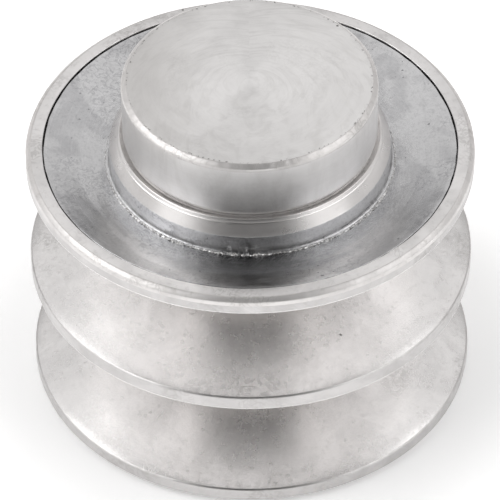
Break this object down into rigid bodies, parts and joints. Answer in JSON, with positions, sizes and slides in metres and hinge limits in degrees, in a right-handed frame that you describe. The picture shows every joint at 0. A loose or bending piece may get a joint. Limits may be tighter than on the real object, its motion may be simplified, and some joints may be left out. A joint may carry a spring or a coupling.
{
  "type": "v belt pulley",
  "caption": "V-belt idler pulley: deep-grooved aluminium rim on a cast hub with a closed boss, turning on sealed ball bearings round a fixed spindle.",
  "frame": {"origin": "centre of the spindle's seat face, on the spin axis; the lowest face of the part", "axes": "+Z along the spin axis, from the spindle's seat towards the closed boss; X and Y radial"},
  "size_m": [0.065, 0.065, 0.0535],
  "materials": {
    "turned_aluminium": "fine turned, bare, light handling marks",
    "cast_aluminium": "as cast, dull, slightly blotchy",
    "faced_aluminium": "faced and turned, bare, worn edge",
    "bearing_steel": "ground and polished",
    "cage_steel": "pressed sheet steel",
    "spring_steel": "phosphated, dark",
    "zinc_steel": "bright zinc plated",
    "rubber": "moulded nitrile, matt"
  },
  "bodies": {
    "axle": {"spindle": "zinc_steel", "spindle_washer": "zinc_steel", "spindle_nut": "zinc_steel", "inner_spacer": "zinc_steel", "lower_bearing_inner_ring": "bearing_steel", "upper_bearing_inner_ring": "bearing_steel"},
    "pulley": {"grooved_rim": "turned_aluminium", "cast_hub": "cast_aluminium", "hub_cap": "faced_aluminium", "cap_o_ring": "rubber", "lower_bearing_outer_ring": "bearing_steel", "upper_bearing_outer_ring": "bearing_steel", "lower_bearing_top_seal": "rubber", "lower_bearing_bottom_seal": "rubber", "upper_bearing_top_seal": "rubber", "upper_bearing_bottom_seal": "rubber", "outer_spacer": "zinc_steel", "circlip": "spring_steel", "shaft_seal": "rubber"},
    "lower_cage": {"lower_bearing_cage": "cage_steel", "lower_bearing_ball_1": "bearing_steel", "lower_bearing_ball_2": "bearing_steel", "lower_bearing_ball_3": "bearing_steel", "lower_bearing_ball_4": "bearing_steel", "lower_bearing_ball_5": "bearing_steel", "lower_bearing_ball_6": "bearing_steel", "lower_bearing_ball_7": "bearing_steel", "lower_bearing_ball_8": "bearing_steel"},
    "upper_cage": {"upper_bearing_cage": "cage_steel", "upper_bearing_ball_1": "bearing_steel", "upper_bearing_ball_2": "bearing_steel", "upper_bearing_ball_3": "bearing_steel", "upper_bearing_ball_4": "bearing_steel", "upper_bearing_ball_5": "bearing_steel", "upper_bearing_ball_6": "bearing_steel", "upper_bearing_ball_7": "bearing_steel", "upper_bearing_ball_8": "bearing_steel"}
  },
  "joints": [
    {"name": "pulley_spin", "type": "hinge", "parent": "axle", "child": "pulley", "pos_m": [0, 0, 0.02], "axis": [0, 0, 1], "continuous": true},
    {"name": "lower_cage_spin", "type": "hinge", "parent": "axle", "child": "lower_cage", "pos_m": [0, 0, 0.01122], "axis": [0, 0, 1], "continuous": true},
    {"name": "upper_cage_spin", "type": "hinge", "parent": "axle", "child": "upper_cage", "pos_m": [0, 0, 0.03022], "axis": [0, 0, 1], "continuous": true}
  ],
  "couplings": [
    {"joint": "lower_cage_spin", "follows": "pulley_spin", "ratio": 0.619},
    {"joint": "upper_cage_spin", "follows": "pulley_spin", "ratio": 0.619}
  ]
}
